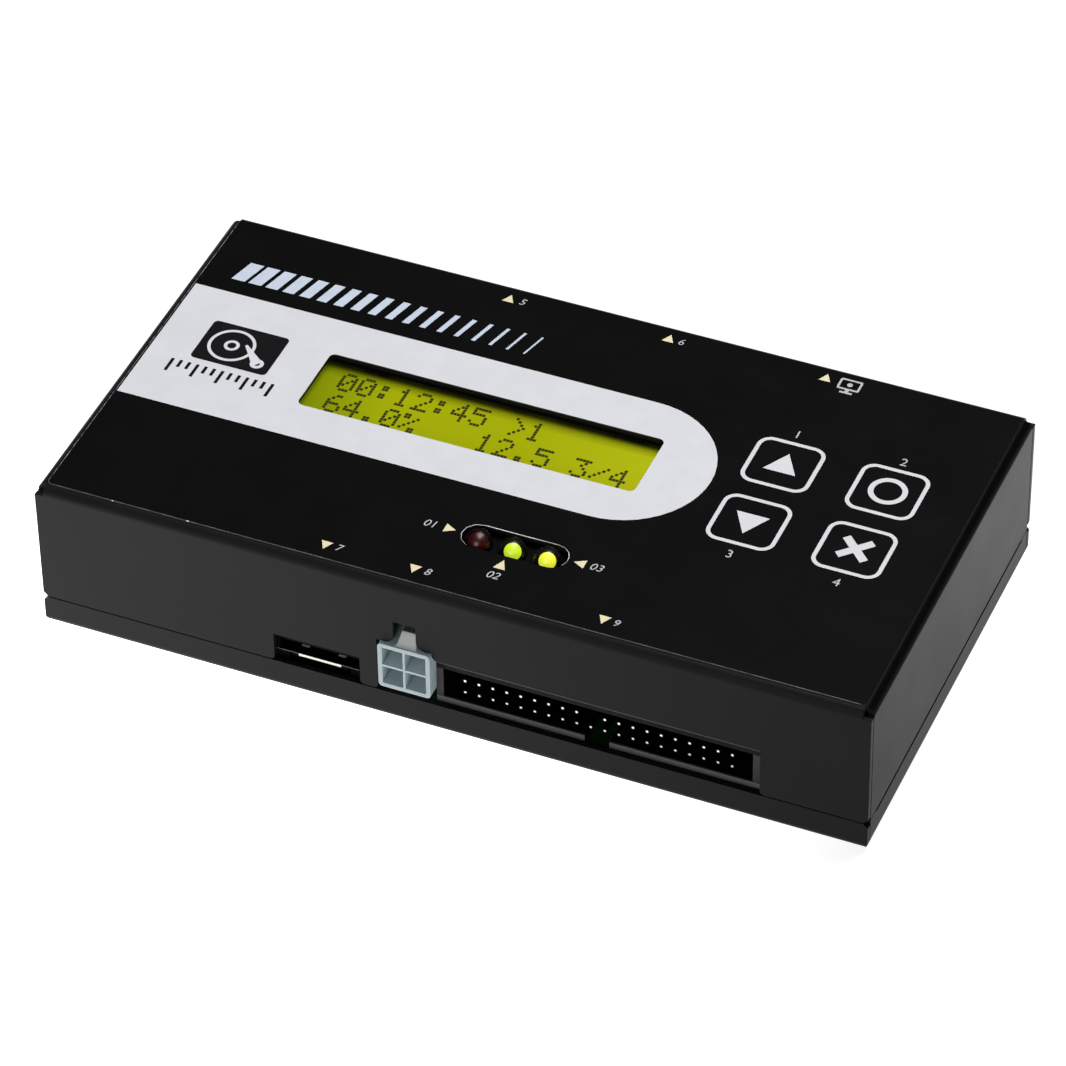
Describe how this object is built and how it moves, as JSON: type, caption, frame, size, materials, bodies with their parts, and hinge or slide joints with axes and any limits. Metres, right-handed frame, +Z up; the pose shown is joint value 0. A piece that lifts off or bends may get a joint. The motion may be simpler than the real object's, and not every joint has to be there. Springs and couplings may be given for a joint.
{
  "type": "hard drive erasing station",
  "caption": "Stand-alone drive erasing station: flat black folded-steel box with key panel, lit character display, lamps, and drive connectors along the front.",
  "frame": {"origin": "middle of the case's flat bottom face", "axes": "+Z up, front with the drive connectors at -Y, +X to the right seen from the front"},
  "size_m": [0.1516, 0.0824, 0.0322],
  "materials": {
    "case_paint": "black powder coat, semi matt",
    "overlay_print": "black printed film, fine texture",
    "window_clear": "clear film",
    "stem_plastic": "moulded",
    "black_plastic": "moulded, slightly satin",
    "board_green": "green solder mask",
    "lens_red": "tinted clear epoxy, unlit",
    "lens_green": "tinted epoxy, lit",
    "lens_yellow": "tinted epoxy, lit",
    "contact_metal": "gold flash over brass",
    "tinned_metal": "tinned",
    "plated_steel": "nickel plated",
    "screw_black": "black zinc",
    "bezel_black": "black lacquered sheet",
    "display_glass": "polariser over green liquid crystal",
    "light_guide": "diffusing light guide, lit yellow-green",
    "clear_nylon": "translucent pale nylon",
    "ivory_plastic": "ivory moulding",
    "white_plastic": "white moulding",
    "ferrite": "dark ferrite",
    "can_aluminium": "bare can"
  },
  "bodies": {
    "case": {"board_screws": "plated_steel", "board_spacers": "plated_steel", "bottom_tray": "case_paint", "capacitors": "can_aluminium", "case_screws": "screw_black", "controller_chip": "black_plastic", "controller_leads": "tinned_metal", "cover_posts": "plated_steel", "crystal_can": "plated_steel", "display_backlight": "light_guide", "display_bezel": "bezel_black", "display_board": "board_green", "display_driver_caps": "black_plastic", "display_glass": "display_glass", "display_window": "window_clear", "drive_power_housing": "clear_nylon", "drive_power_pins": "contact_metal", "ide_header_pins": "contact_metal", "ide_shroud": "black_plastic", "jack_body": "black_plastic", "jack_pin": "plated_steel", "jack_terminals": "tinned_metal", "key_switch_bodies": "black_plastic", "lamp_fault": "lens_red", "lamp_holder": "black_plastic", "lamp_leads": "tinned_metal", "lamp_powered": "lens_yellow", "lamp_working": "lens_green", "link_pins": "contact_metal", "link_sockets": "black_plastic", "link_strips": "black_plastic", "main_board": "board_green", "memory_chips": "black_plastic", "panel_board": "board_green", "panel_overlay": "overlay_print", "panel_posts": "plated_steel", "panel_screws": "plated_steel", "power_coils": "ferrite", "sata_contacts": "contact_metal", "sata_ground_tabs": "tinned_metal", "sata_housing": "black_plastic", "sata_insert": "ivory_plastic", "sounder": "black_plastic", "switch_body": "black_plastic", "switch_terminals": "tinned_metal", "top_cover": "case_paint", "usb_contacts": "contact_metal", "usb_insert": "white_plastic", "usb_shell": "plated_steel"},
    "key_up": {"key_up_pad": "overlay_print", "key_up_stem": "stem_plastic"},
    "key_down": {"key_down_pad": "overlay_print", "key_down_stem": "stem_plastic"},
    "key_ok": {"key_ok_pad": "overlay_print", "key_ok_stem": "stem_plastic"},
    "key_esc": {"key_esc_pad": "overlay_print", "key_esc_stem": "stem_plastic"},
    "rocker": {"rocker_button": "black_plastic"}
  },
  "joints": [
    {"name": "press_up", "type": "slide", "parent": "case", "child": "key_up", "axis": [0, 0, -1], "range_m": [0, 0.0003], "stiffness_N_per_m": 5000},
    {"name": "press_down", "type": "slide", "parent": "case", "child": "key_down", "axis": [0, 0, -1], "range_m": [0, 0.0003], "stiffness_N_per_m": 5000},
    {"name": "press_ok", "type": "slide", "parent": "case", "child": "key_ok", "axis": [0, 0, -1], "range_m": [0, 0.0003], "stiffness_N_per_m": 5000},
    {"name": "press_esc", "type": "slide", "parent": "case", "child": "key_esc", "axis": [0, 0, -1], "range_m": [0, 0.0003], "stiffness_N_per_m": 5000},
    {"name": "power_switch", "type": "hinge", "parent": "case", "child": "rocker", "pos_m": [-0.0208, 0.0375, 0.0116], "axis": [1, 0, 0], "range_deg": [0, 20]}
  ]
}
